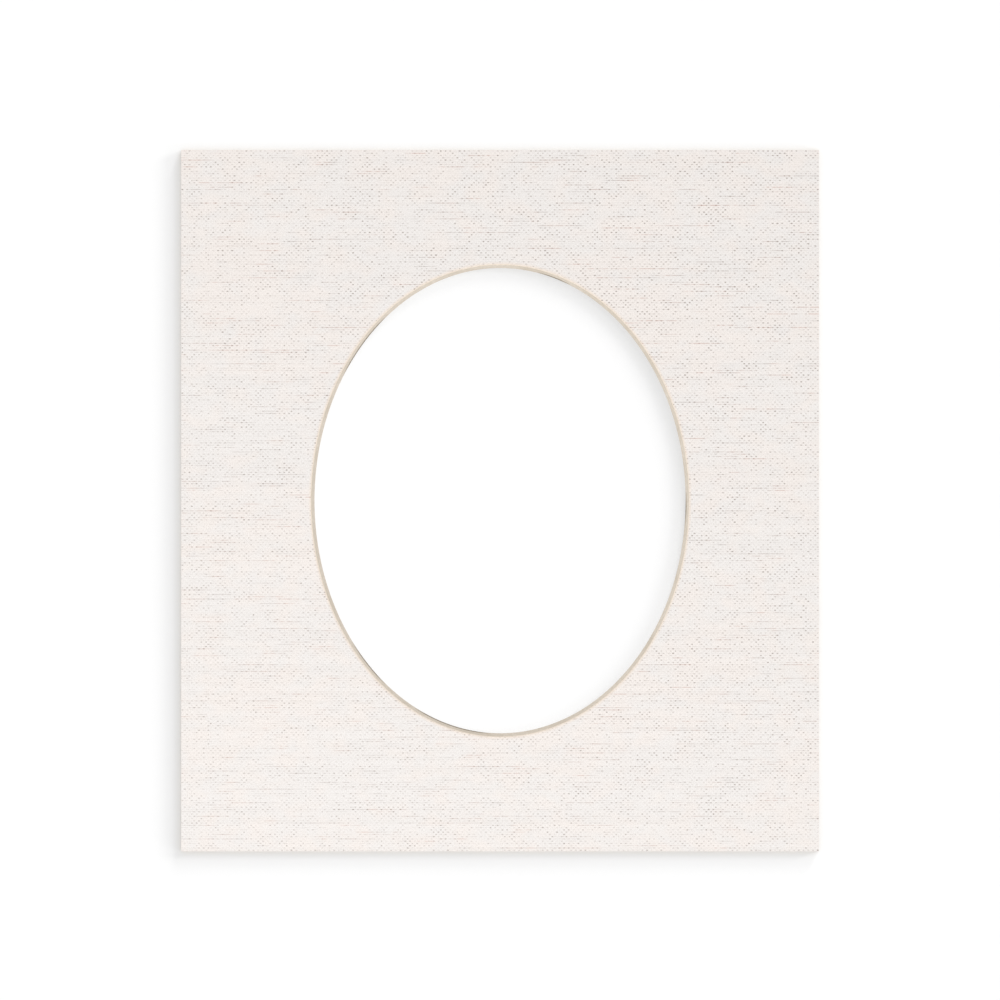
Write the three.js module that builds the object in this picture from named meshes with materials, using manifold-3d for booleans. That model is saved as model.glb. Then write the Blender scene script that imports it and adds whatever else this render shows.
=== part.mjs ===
// Oval picture mount for a 10 x 11 inch frame: cream pulp board faced with woven linen,
// with an upright oval window cut through both on a bevel.
//
// The mount lies on its back. The origin is the centre of the back face, +X runs to the right
// edge, +Y to the top edge and +Z out of the linen. All sizes are in millimetres.

import * as THREE from 'three';
import { mergeVertices } from 'three/addons/utils/BufferGeometryUtils.js';
import Module from 'manifold-3d';

const wasm = await Module();
wasm.setup();

// Driving dimensions

const mountWidth = 254;
const mountHeight = 279.4;

const boardThickness = 1.2;
const linenThickness = 0.3;

// The window is measured at the linen face, where the bevel starts.
const windowWidth = 151;
const windowHeight = 188.5;
const bevelAngle = 45;
const ovalSegments = 200;

// The blade that cuts the window passes this far beyond the front and the back.
const bladeOverrun = 1;

// The linen has 28 weft yarns to the inch, pressed flat on top, with a groove between each two.
const weftSpacing = 0.9;
const yarnFlatWidth = 0.45;
const grooveDepth = 0.1;

// Slubs are the thick stretches that flax is spun with. One weft yarn in three has one. It stands
// higher than a plain yarn, swells on both sides, and tapers over a share of its length at each end.
const yarnsPerSlub = 3;
const slubHeight = 0.12;
const slubSwell = 0.08;
const slubMinLength = 10;
const slubMaxLength = 60;
const slubTaper = 0.3;

// Multiplying by these ratios and keeping what follows the decimal point spreads the slubs'
// yarns, lengths and places without clumps.
const yarnRatio = 0.7548777;
const lengthRatio = 0.5698403;
const placeRatio = 0.618034;

// Heights of the layers above the back face

const linenBack = boardThickness;
const linenFront = boardThickness + linenThickness;

// A closed surface built up from lines of points. Lines are joined in pairs, so that a line
// with many points can meet one with few.
class LoftedSolid {
  constructor() {
    this.points = [];
    this.triangles = [];
  }

  addPoint(x, y, z) {
    this.points.push(new THREE.Vector3(x, y, z));
    return this.points.length - 1;
  }

  // Fills the strip between two lines that both run towards +X or both towards +Y. Seen from
  // outside, with the lines running to the right, the second line is above the first.
  join(below, above, axis) {
    const at = (line, i) => (i < line.length ? this.points[line[i]][axis] : Infinity);
    let i = 0;
    let j = 0;
    while (i + 1 < below.length || j + 1 < above.length) {
      if (at(below, i + 1) <= at(above, j + 1)) {
        this.triangles.push(below[i], below[i + 1], above[j]);
        i += 1;
      } else {
        this.triangles.push(below[i], above[j + 1], above[j]);
        j += 1;
      }
    }
  }

  toGeometry() {
    const geometry = new THREE.BufferGeometry().setFromPoints(this.points);
    geometry.setIndex(this.triangles);
    return geometry;
  }
}

// The oval is an ellipse at the linen face. Moving each point in along its own normal keeps the
// bevel equally wide all round, which scaling the ellipse would not.
function windowOutline(inset) {
  const radiusX = windowWidth / 2;
  const radiusY = windowHeight / 2;
  const outline = [];
  for (let i = 0; i < ovalSegments; i += 1) {
    const angle = (2 * Math.PI * i) / ovalSegments;
    const point = new THREE.Vector2(radiusX * Math.cos(angle), radiusY * Math.sin(angle));
    const normal = new THREE.Vector2(Math.cos(angle) / radiusX, Math.sin(angle) / radiusY).normalize();
    outline.push(point.addScaledVector(normal, -inset));
  }
  return outline;
}

// How far the bevel has come in at a given height: nothing at the linen face, most at the back.
function bevelInset(height) {
  return (linenFront - height) / Math.tan(THREE.MathUtils.degToRad(bevelAngle));
}

// What the slanted blade takes out of both layers in one pass. Its two ends lie outside the mount,
// and each is closed by a fan round the window's centre.
function windowCutter() {
  const solid = new LoftedSolid();
  const ring = (height) => windowOutline(bevelInset(height)).map((p) => solid.addPoint(p.x, p.y, height));
  const lowerHeight = -bladeOverrun;
  const upperHeight = linenFront + bladeOverrun;
  const lower = ring(lowerHeight);
  const upper = ring(upperHeight);
  const lowerCentre = solid.addPoint(0, 0, lowerHeight);
  const upperCentre = solid.addPoint(0, 0, upperHeight);
  for (let i = 0; i < ovalSegments; i += 1) {
    const next = (i + 1) % ovalSegments;
    solid.triangles.push(lower[i], lower[next], upper[next]);
    solid.triangles.push(lower[i], upper[next], upper[i]);
    solid.triangles.push(lowerCentre, lower[next], lower[i]);
    solid.triangles.push(upperCentre, upper[i], upper[next]);
  }
  return solid.toGeometry();
}

// The guillotined board, before its window is cut.
function boardBlank() {
  const geometry = new THREE.BoxGeometry(mountWidth, mountHeight, boardThickness);
  geometry.translate(0, 0, boardThickness / 2);
  return geometry;
}

function scatter(number, ratio) {
  return (number * ratio) % 1;
}

// Where the slub of a weft yarn starts, climbs to its full swell, falls again and ends, as
// stations along the yarn. Most are short and a few are long. Plain yarns have none.
function slubStations(yarn) {
  const group = Math.floor(yarn / yarnsPerSlub);
  const chosen = group * yarnsPerSlub + Math.floor(yarnsPerSlub * scatter(group, yarnRatio));
  if (yarn !== chosen) {
    return [];
  }
  const stretch = scatter(group, lengthRatio);
  const length = slubMinLength + (slubMaxLength - slubMinLength) * stretch * stretch;
  const start = (mountWidth - length) * (scatter(group, placeRatio) - 0.5) - length / 2;
  return [
    { x: start, swell: 0 },
    { x: start + slubTaper * length, swell: 1 },
    { x: start + (1 - slubTaper) * length, swell: 1 },
    { x: start + length, swell: 0 },
  ];
}

// The linen before its window is cut: a flat glued back and one ridge for each weft yarn.
function linenBlank() {
  const solid = new LoftedSolid();
  const yarns = Math.round(mountHeight / weftSpacing);
  const spacing = mountHeight / yarns;
  const left = -mountWidth / 2;
  const right = mountWidth / 2;
  const bottom = -mountHeight / 2;

  const straightLine = (y, z) => [solid.addPoint(left, y, z), solid.addPoint(right, y, z)];
  const crestLine = (yarn, side) => {
    const centre = bottom + (yarn + 0.5) * spacing;
    const stations = [{ x: left, swell: 0 }, ...slubStations(yarn), { x: right, swell: 0 }];
    return stations.map(({ x, swell }) => solid.addPoint(
      x,
      centre + side * (yarnFlatWidth / 2 + swell * slubSwell),
      linenFront + swell * slubHeight,
    ));
  };

  const lines = [straightLine(bottom, linenFront - grooveDepth)];
  for (let yarn = 0; yarn < yarns; yarn += 1) {
    lines.push(crestLine(yarn, -1), crestLine(yarn, 1));
    lines.push(straightLine(bottom + (yarn + 1) * spacing, linenFront - grooveDepth));
  }
  for (let i = 1; i < lines.length; i += 1) {
    solid.join(lines[i - 1], lines[i], 'x');
  }

  const frontEdge = straightLine(bottom, linenBack);
  const rearEdge = straightLine(-bottom, linenBack);
  solid.join(rearEdge, frontEdge, 'x');
  solid.join(frontEdge, lines[0], 'x');
  solid.join(lines.at(-1), rearEdge, 'x');
  solid.join([frontEdge[1], rearEdge[1]], lines.map((line) => line.at(-1)), 'y');
  solid.join(lines.map((line) => line[0]), [frontEdge[0], rearEdge[0]], 'y');
  return solid.toGeometry();
}

function toSolid(geometry) {
  const bare = geometry.clone();
  bare.deleteAttribute('normal');
  bare.deleteAttribute('uv');
  const merged = mergeVertices(bare);
  return new wasm.Manifold(new wasm.Mesh({
    numProp: 3,
    vertProperties: new Float32Array(merged.attributes.position.array),
    triVerts: new Uint32Array(merged.index.array),
  }));
}

function toGeometry(solid) {
  const mesh = solid.getMesh();
  const geometry = new THREE.BufferGeometry();
  geometry.setAttribute('position', new THREE.BufferAttribute(mesh.vertProperties, 3));
  geometry.setIndex(new THREE.BufferAttribute(mesh.triVerts, 1));
  geometry.computeVertexNormals();
  return geometry;
}

const creamBoard = new THREE.MeshStandardMaterial({ color: 0xe0d3c1, roughness: 0.9, metalness: 0 });
const wovenLinen = new THREE.MeshStandardMaterial({ color: 0xf1ebe6, roughness: 0.95, metalness: 0 });

// Both layers are laminated first and the window is cut through them together, so one cutter
// serves for both.
const cutter = toSolid(windowCutter());

function layer(name, blank, material) {
  const mesh = new THREE.Mesh(toGeometry(toSolid(blank).subtract(cutter)), material);
  mesh.name = name;
  return mesh;
}

const mount = new THREE.Group();
mount.add(layer('core_board', boardBlank(), creamBoard));
mount.add(layer('linen_facing', linenBlank(), wovenLinen));

export default mount;
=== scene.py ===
"""Looks for the oval picture mount: slubby off-white linen on a cream board with a bevelled window.

Metres throughout, in the mount's own frame: it lies on its back with the linen up, +X to its right
edge and +Y to its top edge. Sizes come from the solids of the two layers wherever they can.
"""

import math

import bpy
import numpy as np
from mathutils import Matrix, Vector


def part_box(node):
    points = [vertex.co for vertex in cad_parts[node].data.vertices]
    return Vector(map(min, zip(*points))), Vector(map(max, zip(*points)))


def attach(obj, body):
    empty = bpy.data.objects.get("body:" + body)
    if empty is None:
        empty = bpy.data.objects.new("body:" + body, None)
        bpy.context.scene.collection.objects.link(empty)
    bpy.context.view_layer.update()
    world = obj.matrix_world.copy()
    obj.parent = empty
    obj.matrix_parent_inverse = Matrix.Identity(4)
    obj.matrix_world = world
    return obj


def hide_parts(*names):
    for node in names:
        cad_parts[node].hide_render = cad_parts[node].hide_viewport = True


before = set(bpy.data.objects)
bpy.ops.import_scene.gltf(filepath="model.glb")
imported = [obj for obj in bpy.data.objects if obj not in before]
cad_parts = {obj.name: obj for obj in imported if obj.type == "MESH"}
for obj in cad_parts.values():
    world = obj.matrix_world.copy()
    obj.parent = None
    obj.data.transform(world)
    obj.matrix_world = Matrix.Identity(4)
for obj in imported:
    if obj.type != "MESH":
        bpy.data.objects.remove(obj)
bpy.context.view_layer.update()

MM = 0.001

board_low, board_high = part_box("core_board")
HALF_WIDTH = board_high.x
HALF_HEIGHT = board_high.y
LINEN_BACK = board_high.z
LINEN_FRONT = 1.5 * MM

# The window at the linen face, and how far the 45 degree bevel has come in at a given height
WINDOW_X = 75.5 * MM
WINDOW_Y = 94.25 * MM

# Yarns across and up the mount
WARPS = 269
WEFTS = 310
WARP_SPACING = 2 * HALF_WIDTH / WARPS
WEFT_SPACING = 2 * HALF_HEIGHT / WEFTS


def bevel_inset(height):
    return LINEN_FRONT - height


def window_point(angle, inset=0.0):
    """A point of the window's outline, moved in along the outline's own normal."""
    normal = Vector((math.cos(angle) / WINDOW_X, math.sin(angle) / WINDOW_Y)).normalized()
    return Vector((WINDOW_X * math.cos(angle), WINDOW_Y * math.sin(angle))) - normal * inset


def beyond_window(x, y):
    """Above zero outside the window, below zero inside it."""
    return (x / WINDOW_X) ** 2 + (y / WINDOW_Y) ** 2 - 1


def angle_of(x, y):
    return math.atan2(y / WINDOW_Y, x / WINDOW_X)


# Mesh helpers


class MeshBuilder:
    """Points and faces, each face with its material slot, for a mesh that is made in code."""

    def __init__(self):
        self.points = []
        self.faces = []
        self.slots = []

    def point(self, x, y, z):
        self.points.append((x, y, z))
        return len(self.points) - 1

    def face(self, corners, slot=0):
        self.faces.append(corners)
        self.slots.append(slot)

    def band(self, lower, upper, slot=0):
        """Quads between two closed rings of as many points, both anticlockwise from above."""
        count = len(lower)
        for i in range(count):
            k = (i + 1) % count
            self.face((lower[i], lower[k], upper[k], upper[i]), slot)

    def plate(self, outer, inner, upwards, slot=0):
        """Fills the flat ring between two loops round the origin, both sorted by polar angle."""
        def polar(ring):
            return [math.atan2(self.points[p][1], self.points[p][0]) for p in ring]

        outer_angles, inner_angles = polar(outer), polar(inner)
        full = 2 * math.pi
        i = j = 0
        while i < len(outer) or j < len(inner):
            a, b = outer[i % len(outer)], inner[j % len(inner)]
            next_outer = outer_angles[(i + 1) % len(outer)] + full * ((i + 1) // len(outer))
            next_inner = inner_angles[(j + 1) % len(inner)] + full * ((j + 1) // len(inner))
            if j >= len(inner) or (i < len(outer) and next_outer <= next_inner):
                corners = (b, a, outer[(i + 1) % len(outer)])
                i += 1
            else:
                corners = (b, a, inner[(j + 1) % len(inner)])
                j += 1
            self.face(corners if upwards else corners[::-1], slot)

    def build(self, name, sharp_angle):
        mesh = bpy.data.meshes.new(name)
        mesh.from_pydata(self.points, [], self.faces)
        mesh.polygons.foreach_set("material_index", self.slots)
        mesh.polygons.foreach_set("use_smooth", [True] * len(mesh.polygons))
        mesh.update()
        mesh.set_sharp_from_angle(angle=sharp_angle)
        made = bpy.data.objects.new(name, mesh)
        bpy.context.scene.collection.objects.link(made)
        return made


def by_polar_angle(builder, ring):
    return sorted(ring, key=lambda p: math.atan2(builder.points[p][1], builder.points[p][0]))


# The linen: one mesh point for each crossing of a warp and a weft yarn

WEAVE_RELIEF = 0.035 * MM
WEAVE_ROUGHNESS = 0.012 * MM
RAGGED_CUT = 0.02 * MM
SLUB_HEIGHT = 0.11 * MM
YARNS_PER_SLUB = 3
SLUB_LENGTHS = (10 * MM, 60 * MM)
SLUB_TAPER = 0.3
YARN_RATIO = 0.7548777
LENGTH_RATIO = 0.5698403
PLACE_RATIO = 0.618034

# How far a crossing may lie off its place, and how close to the window's outline a point is moved
# onto it, as shares of the yarns' spacing
YARN_WANDER = 0.06
SNAP_SHARE = 0.25

WEAVE_SEED = 28
CUT_SEED = 45

# Where the mesh lies on its unwrapped square: the woven face over nearly all of it, the two cut
# edges as strips inside the oval, and the back scaled down round the middle of the oval
WOVEN_SPAN = 0.996
BACK_SPAN = (0.36, 0.4)
STRIP_START = 0.32
STRIP_LENGTH = 0.35
STRIP_WIDTH = 0.02
WINDOW_STRIP = 0.715
EDGE_STRIP = 0.75


def yarn_slub(weft):
    """Start and length of the slub of a weft yarn, or None."""
    group = weft // YARNS_PER_SLUB
    if weft != group * YARNS_PER_SLUB + int(YARNS_PER_SLUB * (group * YARN_RATIO % 1)):
        return None
    length = SLUB_LENGTHS[0] + (SLUB_LENGTHS[1] - SLUB_LENGTHS[0]) * (group * LENGTH_RATIO % 1) ** 2
    start = (2 * HALF_WIDTH - length) * (group * PLACE_RATIO % 1 - 0.5) - length / 2
    return start, length


def slub_swell(xs):
    """How far each weft yarn is swollen by its slub at each warp yarn, from 0 to 1."""
    swell = np.zeros((len(xs), WEFTS))
    for weft in range(WEFTS):
        slub = yarn_slub(weft)
        if slub:
            along = (xs - slub[0]) / slub[1]
            ends = np.minimum(along, 1 - along) / SLUB_TAPER
            swell[:, weft] = np.clip(ends, 0, 1)
    return swell


def linen_grid():
    """Points of the woven face: the crossings, and the cut yarns along the four edges."""
    crossing_x = -HALF_WIDTH + (np.arange(WARPS) + 0.5) * WARP_SPACING
    crossing_y = -HALF_HEIGHT + (np.arange(WEFTS) + 0.5) * WEFT_SPACING
    xs = np.concatenate([[-HALF_WIDTH], crossing_x, [HALF_WIDTH]])
    ys = np.concatenate([[-HALF_HEIGHT], crossing_y, [HALF_HEIGHT]])
    x, y = (a.copy() for a in np.meshgrid(xs, ys, indexing="ij"))

    over = (np.add.outer(np.arange(len(xs)), np.arange(len(ys))) % 2 == 0)
    generator = np.random.default_rng(WEAVE_SEED)
    z = LINEN_FRONT + np.where(over, WEAVE_RELIEF, -WEAVE_RELIEF)
    z += generator.uniform(-WEAVE_ROUGHNESS, WEAVE_ROUGHNESS, z.shape)
    swell = np.zeros_like(z)
    swell[:, 1:-1] = slub_swell(xs)
    z += SLUB_HEIGHT * swell

    inner = (slice(1, -1), slice(1, -1))
    x[inner] += generator.uniform(-YARN_WANDER, YARN_WANDER, x[inner].shape) * WARP_SPACING
    y[inner] += generator.uniform(-YARN_WANDER, YARN_WANDER, y[inner].shape) * WEFT_SPACING
    return x, y, z, swell, over


def snap_to_window(x, y):
    """Moves the points that lie close to the window's outline onto it, and says which."""
    reach = SNAP_SHARE * WEFT_SPACING
    value = beyond_window(x, y)
    slope = np.hypot(2 * x / WINDOW_X ** 2, 2 * y / WINDOW_Y ** 2)
    near = np.abs(value) < reach * np.maximum(slope, 1e-9)
    for _ in range(4):
        value = beyond_window(x, y)
        gx, gy = 2 * x / WINDOW_X ** 2, 2 * y / WINDOW_Y ** 2
        step = np.where(near, value / np.maximum(gx ** 2 + gy ** 2, 1e-12), 0)
        x -= step * gx
        y -= step * gy
    return near


def crossing_share(p, q):
    """How far along the line from p to q the window's outline is met."""
    dx, dy = q[0] - p[0], q[1] - p[1]
    a = (dx / WINDOW_X) ** 2 + (dy / WINDOW_Y) ** 2
    b = 2 * (p[0] * dx / WINDOW_X ** 2 + p[1] * dy / WINDOW_Y ** 2)
    c = beyond_window(p[0], p[1])
    root = math.sqrt(b * b - 4 * a * c)
    return next(t for t in ((-b - root) / (2 * a), (-b + root) / (2 * a)) if 0 <= t <= 1)


def lay_out(linen, builder, woven, cut_window, cut_edges):
    """Maps the woven face over the whole square, and the cut edges and the back inside its oval."""
    def share(p):
        return p[0] / (2 * HALF_WIDTH), p[1] / (2 * HALF_HEIGHT)

    def strip(corners, start):
        turns = [math.atan2(p[1], p[0]) / (2 * math.pi) + 0.5 for p in corners]
        if max(turns) - min(turns) > 0.5:
            turns = [t + 1 if t < 0.5 else t for t in turns]
        return [
            (
                STRIP_START + STRIP_LENGTH * t,
                start + STRIP_WIDTH * (p[2] - LINEN_BACK) / (LINEN_FRONT - LINEN_BACK),
            )
            for t, p in zip(turns, corners)
        ]

    places = []
    for number, face in enumerate(builder.faces):
        corners = [builder.points[p] for p in face]
        if number < woven:
            places += [(0.5 + WOVEN_SPAN * u, 0.5 + WOVEN_SPAN * v) for u, v in map(share, corners)]
        elif number < cut_window:
            places += strip(corners, WINDOW_STRIP)
        elif number < cut_edges:
            places += strip(corners, EDGE_STRIP)
        else:
            across, up = BACK_SPAN
            places += [(0.5 - across * u, 0.5 + up * v) for u, v in map(share, corners)]
    layer = linen.data.uv_layers.new(name="OFBake")
    layer.data.foreach_set("uv", np.array(places, np.float32).ravel())


def make_linen():
    x, y, z, swell, over = linen_grid()
    near = snap_to_window(x, y)
    columns, rows = x.shape
    x, y, z, swell, near = (a.ravel() for a in (x, y, z, swell, near))
    side = np.where(near, 0, np.sign(beyond_window(x, y))).astype(int)

    index = np.arange(columns * rows).reshape(columns, rows)
    a, b, c, d = (index[:-1, :-1], index[1:, :-1], index[1:, 1:], index[:-1, 1:])
    ridge = over[:-1, :-1][..., None]
    # Each square is folded along its two low corners, so that every weft crossing is a small dome.
    first = np.where(ridge, np.stack([a, b, d], -1), np.stack([a, b, c], -1)).reshape(-1, 3)
    second = np.where(ridge, np.stack([b, c, d], -1), np.stack([a, c, d], -1)).reshape(-1, 3)
    triangles = np.concatenate([first, second])
    sides = side[triangles]
    kept = triangles[(sides >= 0).all(1) & (sides > 0).any(1)]
    cut = triangles[(sides > 0).any(1) & (sides < 0).any(1)]

    builder = MeshBuilder()
    swells = []
    number = {}
    met = {}

    def carried(old):
        if old not in number:
            number[old] = builder.point(x[old], y[old], z[old])
            swells.append(swell[old])
        return number[old]

    def on_outline(p, q):
        key = (min(p, q), max(p, q))
        if key not in met:
            t = crossing_share((x[key[0]], y[key[0]]), (x[key[1]], y[key[1]]))
            mixed = [v[key[0]] + t * (v[key[1]] - v[key[0]]) for v in (x, y, z, swell)]
            met[key] = builder.point(*mixed[:3])
            swells.append(mixed[3])
        return met[key]

    for corners in kept.tolist():
        builder.face([carried(p) for p in corners])
    for corners in cut.tolist():
        polygon = []
        for p, q in zip(corners, corners[1:] + corners[:1]):
            if side[p] >= 0:
                polygon.append(carried(p))
            if side[p] * side[q] < 0:
                polygon.append(on_outline(p, q))
        for i in range(1, len(polygon) - 1):
            builder.face([polygon[0], polygon[i], polygon[i + 1]])

    on_rim = np.flatnonzero(side == 0).tolist()
    rim = by_polar_angle(builder, list(met.values()) + [number[p] for p in on_rim if p in number])
    edges = (index[:, 0], index[-1, 1:], index[-2::-1, -1], index[0, -2:0:-1])
    outer = by_polar_angle(builder, [number[p] for p in np.concatenate(edges).tolist()])

    generator = np.random.default_rng(CUT_SEED)

    def bevel_ring(height, ragged):
        ring = []
        for p in rim:
            angle = angle_of(builder.points[p][0], builder.points[p][1])
            inset = bevel_inset(height) + ragged * generator.uniform(-1, 1)
            ring.append(builder.point(*window_point(angle, inset), height))
            swells.append(0.0)
        return ring

    def edge_ring(height):
        ring = []
        for p in outer:
            ring.append(builder.point(builder.points[p][0], builder.points[p][1], height))
            swells.append(0.0)
        return ring

    woven = len(builder.faces)
    middle = bevel_ring(0.4 * LINEN_BACK + 0.6 * LINEN_FRONT, RAGGED_CUT)
    inner_back = bevel_ring(LINEN_BACK, 0)
    outer_back = edge_ring(LINEN_BACK)
    builder.band(rim, middle, slot=1)
    builder.band(middle, inner_back, slot=1)
    cut_window = len(builder.faces)
    builder.band(outer_back, outer, slot=1)
    cut_edges = len(builder.faces)
    builder.plate(outer_back, inner_back, upwards=False, slot=1)

    linen = builder.build("linen_cloth", sharp_angle=math.radians(40))
    lay_out(linen, builder, woven, cut_window, cut_edges)
    attribute = linen.data.attributes.new("slub", "FLOAT", "POINT")
    attribute.data.foreach_set("value", np.array(swells, np.float32))
    return linen


# The board: a bevel of pressed fibres, guillotined edges and a plain back

# Stretches of the bevel, in degrees from +X, where its foot is darkened to a thin dark line
DARK_FOOT_STRETCHES = ((-7, 3), (67, 79), (127, 148), (217, 232), (242, 267))
DARK_FOOT_FADE = 4

BEVEL_STEPS = 720
BEVEL_RINGS = 9
EDGE_STEPS = 40
FIBRE_ROUGHNESS = 0.014 * MM
CRUSHED_EDGE = 0.06 * MM
FIBRE_SEED = 4


def foot_share(degrees):
    """How dark the foot of the bevel is, from 0 to 1."""
    share = 0.0
    for first, last in DARK_FOOT_STRETCHES:
        for turn in (degrees, degrees - 360):
            share = max(share, min((turn - first) / DARK_FOOT_FADE, (last - turn) / DARK_FOOT_FADE, 1.0))
    return share


def make_board():
    builder = MeshBuilder()
    generator = np.random.default_rng(FIBRE_SEED)
    angles = np.linspace(-math.pi, math.pi, BEVEL_STEPS, endpoint=False)
    heights = np.linspace(0, LINEN_BACK, BEVEL_RINGS)

    bevel = []
    for height in heights:
        inside = 0 < height < LINEN_BACK
        ring = []
        for angle in angles:
            ragged = FIBRE_ROUGHNESS * generator.uniform(-1, 1) if inside else 0
            ring.append(builder.point(*window_point(angle, bevel_inset(height) + ragged), height))
        bevel.append(ring)
    for lower, upper in zip(bevel, bevel[1:]):
        builder.band(upper, lower)

    def outline(height, shrink):
        corners = [(-1, -1), (1, -1), (1, 1), (-1, 1)]
        ring = []
        for (ax, ay), (bx, by) in zip(corners, corners[1:] + corners[:1]):
            for t in np.linspace(0, 1, EDGE_STEPS, endpoint=False):
                x = (ax + t * (bx - ax)) * (HALF_WIDTH - shrink)
                y = (ay + t * (by - ay)) * (HALF_HEIGHT - shrink)
                ring.append(builder.point(x, y, height))
        return by_polar_angle(builder, ring)

    crushed = [(0, CRUSHED_EDGE), (CRUSHED_EDGE, 0), (LINEN_BACK, 0)]
    walls = [outline(height, shrink) for height, shrink in crushed]
    for lower, upper in zip(walls, walls[1:]):
        builder.band(lower, upper)
    builder.plate(walls[0], bevel[0], upwards=False)
    builder.plate(walls[-1], bevel[-1], upwards=True)
    board = builder.build("mat_board", sharp_angle=math.radians(30))

    # The rings of the bevel come first among the points.
    foot = [foot_share(math.degrees(angle) % 360) for _ in heights for angle in angles]
    foot += [0.0] * (len(builder.points) - len(foot))
    attribute = board.data.attributes.new("foot", "FLOAT", "POINT")
    attribute.data.foreach_set("value", np.array(foot, np.float32))
    return board


linen = make_linen()
board = make_board()


# Shader nodes

MATTE_SPECULAR = 0.1


class Shader:
    """One procedural material. Each call adds a node and gives back the socket it ends in."""

    def __init__(self, name):
        self.material = bpy.data.materials.new(name)
        self.material.use_nodes = True
        self.tree = self.material.node_tree
        self.surface = self.tree.nodes["Principled BSDF"]
        self.place = self.node("ShaderNodeTexCoord", output="Object")

    def feed(self, socket, value):
        if isinstance(value, bpy.types.NodeSocket):
            self.tree.links.new(value, socket)
        else:
            socket.default_value = value

    def node(self, kind, output=0, inputs=None, **settings):
        made = self.tree.nodes.new(kind)
        for name, value in settings.items():
            setattr(made, name, value)
        for name, value in (inputs or {}).items():
            self.feed(made.inputs[name], value)
        return made.outputs[output]

    def math(self, operation, *values):
        return self.node("ShaderNodeMath", operation=operation, inputs=dict(enumerate(values)))

    def rise(self, value, low, high):
        """0 below low, 1 above high and a smooth climb between them."""
        return self.node(
            "ShaderNodeMapRange", interpolation_type="SMOOTHSTEP",
            inputs={"Value": value, "From Min": low, "From Max": high},
        )

    def span(self, share, first, last):
        """Runs from first to last as the share goes from 0 to 1."""
        return self.math("MULTIPLY_ADD", share, last - first, first)

    def product(self, first, *others):
        for other in others:
            first = self.math("MULTIPLY", first, other)
        return first

    def axes(self, vector):
        made = self.tree.nodes.new("ShaderNodeSeparateXYZ")
        self.feed(made.inputs[0], vector)
        return made.outputs[0], made.outputs[1], made.outputs[2]

    def vector(self, x, y, z=0.0):
        return self.node("ShaderNodeCombineXYZ", inputs={0: x, 1: y, 2: z})

    def noise(self, vector, scale=1.0, detail=0.0, roughness=0.5):
        return self.node(
            "ShaderNodeTexNoise", output="Fac",
            inputs={"Vector": vector, "Scale": scale, "Detail": detail, "Roughness": roughness},
        )

    def random(self, vector):
        return self.node("ShaderNodeTexWhiteNoise", output="Value", inputs={"Vector": vector})

    def blend(self, share, first, second):
        made = self.tree.nodes.new("ShaderNodeMix")
        made.data_type = "RGBA"
        self.feed(made.inputs["Factor"], share)
        self.feed(made.inputs[6], first)
        self.feed(made.inputs[7], second)
        return made.outputs[2]

    def bump(self, height, distance, strength=1.0):
        return self.node(
            "ShaderNodeBump",
            inputs={"Height": height, "Distance": distance, "Strength": strength},
        )

    def finish(self, colour, normal=None, roughness=0.9):
        self.feed(self.surface.inputs["Base Color"], colour)
        self.feed(self.surface.inputs["Roughness"], roughness)
        self.surface.inputs["Specular IOR Level"].default_value = MATTE_SPECULAR
        if normal is not None:
            self.feed(self.surface.inputs["Normal"], normal)
        return self.material


def srgb(red, green, blue):
    """A colour written as 0 to 255 steps, in the linear values that a shader takes."""
    def linear(step):
        share = step / 255
        return share / 12.92 if share <= 0.04045 else ((share + 0.055) / 1.055) ** 2.4

    return (linear(red), linear(green), linear(blue), 1.0)


# Linen finish

LINEN_ROSE = srgb(255, 248, 243)
LINEN_GREY = srgb(252, 248, 245)
YARN_SHADE = srgb(181, 172, 166)
SLUB_ROSE = srgb(198, 157, 143)
SLUB_GREY = srgb(176, 166, 160)
CUT_PEACH = srgb(254, 241, 229)
CUT_FRINGE = 1.0 * MM

DOT_DEPTH = 0.78
PAINTED_HIGHLIGHT_DEPTH = 0.16
LONG_STREAK_DEPTH = 0.57
SHORT_STREAK_DEPTH = 0.28
GROUND_DEPTH = 0.135
FIBRE_DEPTH = 0.48
YARN_DEPTH = 0.05
SLUB_SHARE = 0.3
FRINGE_SHARE = 0.7

# Painted shade: dots and streaks deepen by this share for each metre to the upper right, away from the
# lamp
SHADE_SLOPE_TO_UPPER_RIGHT = 1.0


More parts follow.
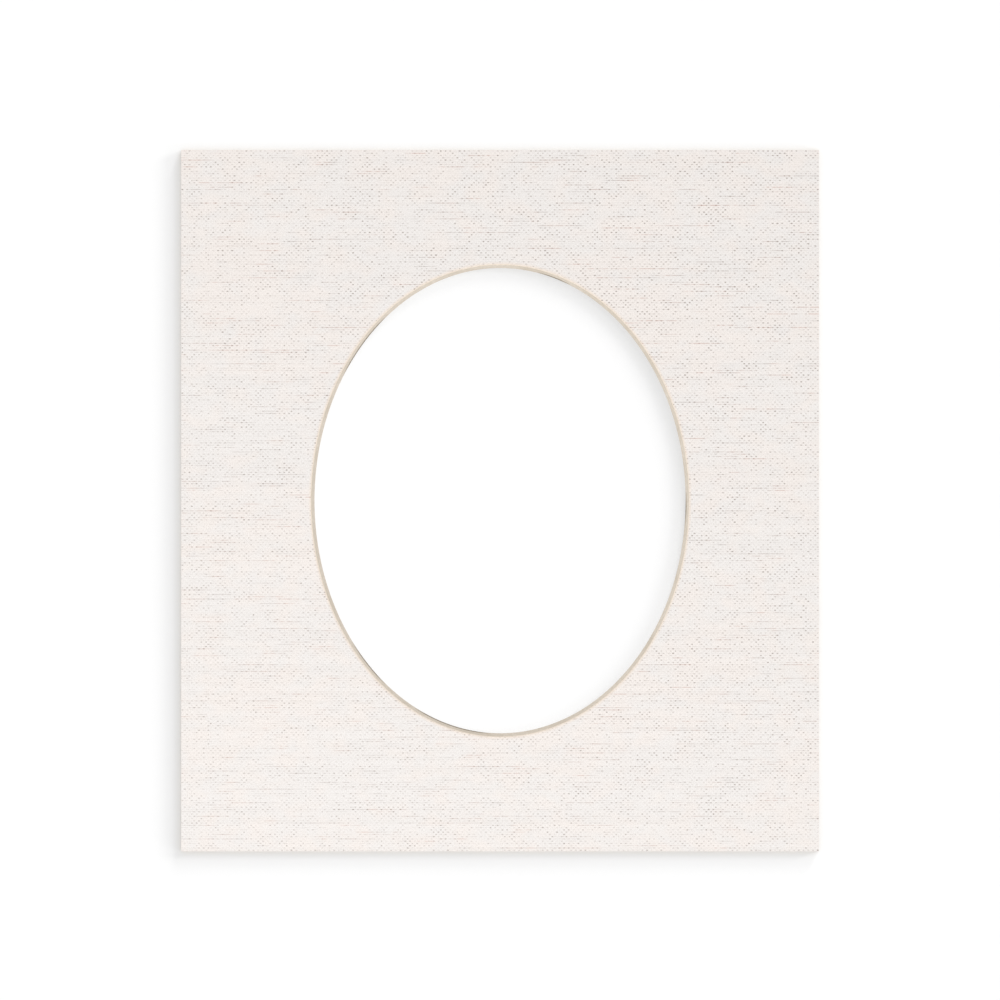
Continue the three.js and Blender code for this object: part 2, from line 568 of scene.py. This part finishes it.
def linen_material():
    s = Shader("linen_weave")
    x, y, _ = s.axes(s.place)
    u = s.math("DIVIDE", s.math("ADD", x, HALF_WIDTH - WARP_SPACING / 2), WARP_SPACING)
    v = s.math("DIVIDE", s.math("ADD", y, HALF_HEIGHT - WEFT_SPACING / 2), WEFT_SPACING)
    weft = s.math("ROUND", v)
    off_yarn = s.math("ABSOLUTE", s.math("SUBTRACT", v, weft))
    # The weft lies over every second warp, one warp further on in each next row.
    pair = s.math("MULTIPLY", s.math("SUBTRACT", u, s.math("FLOORED_MODULO", weft, 2.0)), 0.5)
    crossing = s.math("ROUND", pair)
    off_crossing = s.math("ABSOLUTE", s.math("SUBTRACT", pair, crossing))

    def along_weft(length, seed):
        """Noise that runs along the weft yarns and is different on each of them."""
        return s.noise(s.vector(s.math("DIVIDE", x, length), s.math("MULTIPLY", weft, 7.31), seed))

    def patches(width, height, seed, detail=0.0):
        place = s.vector(s.math("DIVIDE", x, width), s.math("DIVIDE", y, height), seed)
        return s.noise(place, detail=detail)

    # Painted shade: the dots and streaks get darker towards the upper right, away from the lamp.
    painted_shade_slope = s.math("MULTIPLY_ADD", s.math("ADD", x, y), SHADE_SLOPE_TO_UPPER_RIGHT, 1.0)

    # Each crossing shows as a dot of shade with a paler rim, a painted highlight, and no two are
    # equally deep or wide.
    width = s.span(s.random(s.vector(crossing, weft, 4.0)), 0.23, 0.33)
    dot = s.product(
        s.span(s.rise(off_crossing, 0.066, width), 1.0, 0.0),
        s.span(s.rise(off_yarn, 0.2, 0.36), 1.0, 0.0),
    )
    rim = s.product(s.span(s.rise(off_crossing, 0.1, 0.4), 1.0, 0.0), s.rise(off_yarn, 0.36, 0.5))
    depth = s.product(
        s.span(s.rise(along_weft(12 * MM, 1.0), 0.15, 0.4), 0.6, 1.0),
        s.span(s.math("POWER", s.random(s.vector(crossing, weft, 3.0)), 2.3), 0.1, 1.0),
        s.span(s.rise(patches(16 * MM, 8 * MM, 5.0, detail=2.0), 0.3, 0.7), 0.55, 1.2),
        painted_shade_slope,
    )
    dots = s.product(dot, depth, DOT_DEPTH)
    # Painted highlight: the paler rims lighten the yarn next to each dot.
    painted_highlight_rims = s.product(rim, depth, PAINTED_HIGHLIGHT_DEPTH)

    # Thicker stretches of weft show as thin broken streaks, many short ones and a few long ones.
    line = s.span(s.rise(off_yarn, 0.02, 0.27), 1.0, 0.0)
    broken = s.rise(along_weft(1.6 * MM, 2.0), 0.38, 0.63)
    slub = s.node("ShaderNodeAttribute", output="Fac", attribute_name="slub")
    long_swell = s.rise(along_weft(20 * MM, 11.0), 0.62, 0.72)
    thick = s.math("MAXIMUM", long_swell, s.math("MULTIPLY", slub, SLUB_SHARE))
    long_streaks = s.product(thick, line, painted_shade_slope, s.span(broken, 1.0, 0.15), LONG_STREAK_DEPTH)
    short_swell = s.rise(along_weft(6.3 * MM, 9.0), 0.45, 0.75)
    short_streaks = s.product(short_swell, line, broken, SHORT_STREAK_DEPTH)

    fibre = s.math("SUBTRACT", patches(0.42 * MM, 0.38 * MM, 7.0), 0.5)
    yarn = s.math("SUBTRACT", s.random(s.vector(weft, 0.0, 6.0)), 0.5)
    even = s.math("MULTIPLY_ADD", yarn, YARN_DEPTH, GROUND_DEPTH)
    ground = s.math("ADD", s.math("MULTIPLY", fibre, FIBRE_DEPTH), even)
    shade = s.math("SUBTRACT", s.math("ADD", s.math("ADD", dots, short_streaks), ground), painted_highlight_rims)

    drift = s.span(patches(70 * MM, 45 * MM, 8.0), -0.3, 0.3)
    tint = s.rise(s.math("ADD", patches(10 * MM, 7 * MM, 1.0, detail=1.0), drift), 0.3, 0.7)
    colour = s.blend(tint, LINEN_GREY, LINEN_ROSE)
    reach = s.node("ShaderNodeVectorMath", output="Value", operation="LENGTH", inputs={
        0: s.vector(s.math("DIVIDE", x, WINDOW_X), s.math("DIVIDE", y, WINDOW_Y)),
    })
    off_window = s.math("MULTIPLY", s.math("SUBTRACT", reach, 1.0), WINDOW_X)
    fringe = s.span(s.rise(off_window, 0.2 * CUT_FRINGE, CUT_FRINGE), FRINGE_SHARE, 0.0)
    colour = s.blend(fringe, colour, CUT_PEACH)
    colour = s.blend(s.math("MAXIMUM", s.math("MINIMUM", shade, 1.0), 0.0), colour, YARN_SHADE)
    colour = s.blend(long_streaks, colour, s.blend(tint, SLUB_GREY, SLUB_ROSE))

    grain = patches(0.25 * MM, 0.25 * MM, 0.0, detail=2.0)
    crown = s.product(
        s.math("ABSOLUTE", s.math("COSINE", s.math("MULTIPLY", u, math.pi))),
        s.math("ABSOLUTE", s.math("COSINE", s.math("MULTIPLY", v, math.pi))),
    )
    height = s.math("ADD", s.math("POWER", crown, 0.6), s.math("MULTIPLY", grain, 0.5))
    return s.finish(colour, s.bump(height, 0.05 * MM), roughness=0.92)


def linen_cut_material():
    """The cut edge of the cloth: yarn ends set in pale glue."""
    s = Shader("linen_cut")
    ends = s.noise(s.place, scale=1400.0, detail=3.0)
    colour = s.blend(s.rise(ends, 0.3, 0.7), srgb(248, 235, 219), srgb(236, 220, 203))
    return s.finish(colour, s.bump(ends, 0.04 * MM), roughness=0.85)


# Board finish

CORE_CREAM = srgb(229, 219, 206)
CORE_TAN = srgb(213, 202, 187)
CORE_DARK = srgb(192, 179, 161)
FOOT_SHADE = srgb(150, 139, 124)
BACK_PAPER = srgb(236, 231, 221)
BACK_PULP = srgb(234, 228, 218)
PLIES = 4

# Fibres to the metre, along the cut and through its depth
GRAIN_ALONG = 700.0
GRAIN_DEEP = 5200.0

# A face whose normal has a lower height than this belongs to the back.
BACK_NORMAL = -0.9


def board_material():
    s = Shader("pulp_board")
    x, y, z = s.axes(s.place)
    # Fibres lie in the plies, so the grain is long across the cut and fine through its depth.
    fibres = s.vector(
        s.math("MULTIPLY", x, GRAIN_ALONG),
        s.math("MULTIPLY", y, GRAIN_ALONG),
        s.math("MULTIPLY", z, GRAIN_DEEP),
    )
    grain = s.noise(fibres, detail=4.0)
    cloud = s.noise(s.place, scale=60.0, detail=2.0)
    core = s.blend(s.rise(grain, 0.3, 0.7), CORE_TAN, CORE_CREAM)
    core = s.blend(s.math("MULTIPLY", s.rise(cloud, 0.4, 0.75), 0.35), core, CORE_DARK)
    ply = s.math("FRACT", s.math("MULTIPLY", z, PLIES / LINEN_BACK))
    seam = s.span(s.rise(s.math("ABSOLUTE", s.math("SUBTRACT", ply, 0.5)), 0.0, 0.12), 0.25, 0.0)
    core = s.blend(seam, core, CORE_DARK)
    foot = s.node("ShaderNodeAttribute", output="Fac", attribute_name="foot")
    low_down = s.span(s.rise(z, 0.2 * MM, 0.45 * MM), 1.0, 0.0)
    # The foot of the bevel darkens to a thin dark line on the stretches listed above.
    core = s.blend(s.product(foot, low_down), core, FOOT_SHADE)

    flecks = s.noise(s.place, scale=2600.0, detail=3.0, roughness=0.7)
    mottle = s.noise(s.place, scale=90.0, detail=3.0)
    paper = s.blend(s.rise(mottle, 0.35, 0.65), BACK_PAPER, BACK_PULP)
    paper = s.blend(s.math("MULTIPLY", s.rise(flecks, 0.62, 0.75), 0.5), paper, CORE_DARK)

    facing = s.axes(s.node("ShaderNodeNewGeometry", output="True Normal"))[2]
    is_back = s.math("LESS_THAN", facing, BACK_NORMAL)
    colour = s.blend(is_back, core, paper)
    return s.finish(colour, s.bump(grain, 0.03 * MM), roughness=0.9)


linen.data.materials.append(linen_material())
linen.data.materials.append(linen_cut_material())
board.data.materials.append(board_material())

for piece, node, slot in ((linen, "linen_facing", "woven_linen"), (board, "core_board", "cream_board")):
    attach(piece, "root")
    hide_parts(node)


# Camera: straight down on the linen, as the photograph looks straight at it

PHOTO_WIDTH = 1000
PHOTO_SCALE = 0.3983 * MM
PHOTO_CENTRE = (500.07, 500.65)
LENS = 120.0


def make_camera():
    data = bpy.data.cameras.new("camera")
    data.lens = LENS
    camera = bpy.data.objects.new("camera", data)
    across = PHOTO_WIDTH * PHOTO_SCALE
    distance = across * LENS / data.sensor_width
    half = PHOTO_WIDTH / 2
    camera.location = (
        (half - PHOTO_CENTRE[0]) * PHOTO_SCALE,
        (PHOTO_CENTRE[1] - half) * PHOTO_SCALE,
        LINEN_FRONT + distance,
    )
    data.clip_start, data.clip_end = 0.01, 50
    bpy.context.scene.collection.objects.link(camera)
    bpy.context.scene.camera = camera


# Stage: pale floor, white surroundings and a soft key from the mount's lower end. The suns light the
# floor alone. Most stand low on its right, for the shadows that the mount casts to the left.

FLOOR_SIZE = 12.0
FLOOR_DROP = 0.02 * MM
FLOOR_TONES = (0.975, 0.985)
SKY_LEVEL = 0.77
KEY_WATTS = 5.1
KEY_PLACE = (-0.2, -0.58, 1.2)
KEY_SIZE = 0.5

# Share of the floor's light, then in degrees the height above the floor, the turn from +X towards
# +Y, and the spread
FLOOR_SUNS = (
    (0.02, 90, 0, 30),
    (0.01, 40, 45, 20),
    (0.05, 20, 45, 20),
    (0.04, 8, -20, 12),
    (0.08, 8, 20, 12),
    (0.08, 8, 65, 12),
)


def make_floor():
    half = FLOOR_SIZE / 2
    mesh = bpy.data.meshes.new("floor")
    corners = [(-half, -half, 0), (half, -half, 0), (half, half, 0), (-half, half, 0)]
    mesh.from_pydata(corners, [], [(0, 1, 2, 3)])
    floor = bpy.data.objects.new("floor", mesh)
    floor.location.z = -FLOOR_DROP
    bpy.context.scene.collection.objects.link(floor)
    s = Shader("floor_paper")
    grain = s.noise(s.place, scale=300.0, detail=2.0)
    colour = s.blend(grain, *((tone, tone, tone, 1) for tone in FLOOR_TONES))
    mesh.materials.append(s.finish(colour, roughness=1.0))
    return floor


def make_world():
    world = bpy.data.worlds.new("studio")
    bpy.context.scene.world = world
    world.use_nodes = True
    tree = world.node_tree
    background = tree.nodes["Background"]
    background.inputs["Color"].default_value = (1, 1, 1, 1)
    path = tree.nodes.new("ShaderNodeLightPath")
    seen = tree.nodes.new("ShaderNodeMath")
    seen.operation = "MAXIMUM"
    tree.links.new(path.outputs["Is Camera Ray"], seen.inputs[0])
    tree.links.new(path.outputs["Is Glossy Ray"], seen.inputs[1])
    through = tree.nodes.new("ShaderNodeMath")
    through.operation = "MAXIMUM"
    tree.links.new(seen.outputs[0], through.inputs[0])
    tree.links.new(path.outputs["Is Transmission Ray"], through.inputs[1])
    level = tree.nodes.new("ShaderNodeMapRange")
    tree.links.new(through.outputs[0], level.inputs["Value"])
    level.inputs["To Min"].default_value = SKY_LEVEL
    level.inputs["To Max"].default_value = 1.0
    tree.links.new(level.outputs[0], background.inputs["Strength"])


def add_lamp(data, place, lit):
    """A lamp at a place, aimed at the middle of the mount, that lights only the given objects."""
    lamp = bpy.data.objects.new(data.name, data)
    lamp.location = place
    lamp.rotation_euler = (-Vector(place)).to_track_quat("-Z", "Y").to_euler()
    bpy.context.scene.collection.objects.link(lamp)
    group = bpy.data.collections.new(data.name + "_lights")
    for one in lit:
        group.objects.link(one)
    lamp.light_linking.receiver_collection = group


def make_lamps(floor):
    key = bpy.data.lights.new("key", "AREA")
    key.energy = KEY_WATTS
    key.size = KEY_SIZE
    add_lamp(key, KEY_PLACE, [linen, board])

    for share, height, turn, spread in FLOOR_SUNS:
        sun = bpy.data.lights.new("floor_sun_%d_%d" % (height, turn), "SUN")
        height, turn = math.radians(height), math.radians(turn)
        sun.energy = share * math.pi / math.sin(height)
        sun.angle = math.radians(spread)
        level = math.cos(height)
        add_lamp(sun, (level * math.cos(turn), level * math.sin(turn), math.sin(height)), [floor])


make_camera()
make_world()
make_lamps(make_floor())

scene = bpy.context.scene
scene.view_settings.view_transform = "Standard"
